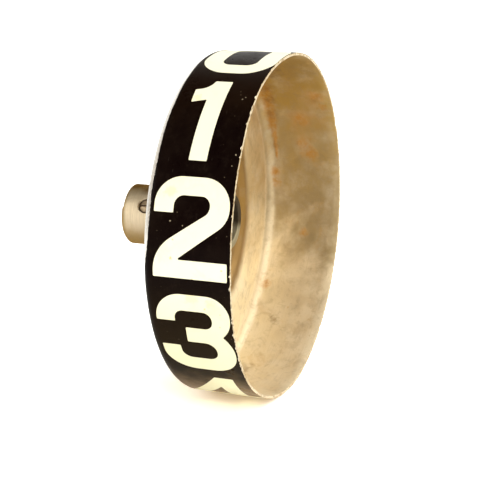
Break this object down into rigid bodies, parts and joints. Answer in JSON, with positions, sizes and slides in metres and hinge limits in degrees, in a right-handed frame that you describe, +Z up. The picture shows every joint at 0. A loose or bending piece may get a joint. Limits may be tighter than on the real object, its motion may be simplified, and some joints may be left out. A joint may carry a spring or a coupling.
{
  "type": "numeral wheel",
  "caption": "Open steel cup wheel with a black band of large raised numerals round its rim, on a flanged hub with a radial set screw.",
  "frame": {"origin": "on the wheel's axis, half way between the open rim and the hub's outer end", "axes": "+Y along the axis from the open rim to the hub's outer end, +Z up with the wheel standing on its rim, -X towards the reader of numeral 2"},
  "size_m": [0.1018, 0.051, 0.1018],
  "materials": {
    "bare_steel": "dull bare sheet, lightly rusted",
    "black_enamel": "worn gloss black enamel",
    "cream_enamel": "cream white enamel",
    "turned_alloy": "turned, dull",
    "dark_steel": "oiled, darkened"
  },
  "bodies": {
    "wheel": {"drum": "bare_steel", "number_band": "black_enamel", "numeral_0": "cream_enamel", "numeral_1": "cream_enamel", "numeral_2": "cream_enamel", "numeral_3": "cream_enamel", "numeral_4": "cream_enamel", "numeral_5": "cream_enamel", "numeral_6": "cream_enamel", "numeral_7": "cream_enamel", "numeral_8": "cream_enamel", "numeral_9": "cream_enamel", "hub": "turned_alloy", "hub_rivet_1": "dark_steel", "hub_rivet_2": "dark_steel", "hub_rivet_3": "dark_steel"},
    "set_screw": {"set_screw": "dark_steel"}
  },
  "joints": [
    {"name": "set_screw_travel", "type": "slide", "parent": "wheel", "child": "set_screw", "axis": [-0.866, 0, 0.5], "range_m": [-0.001, 0.0025]}
  ]
}
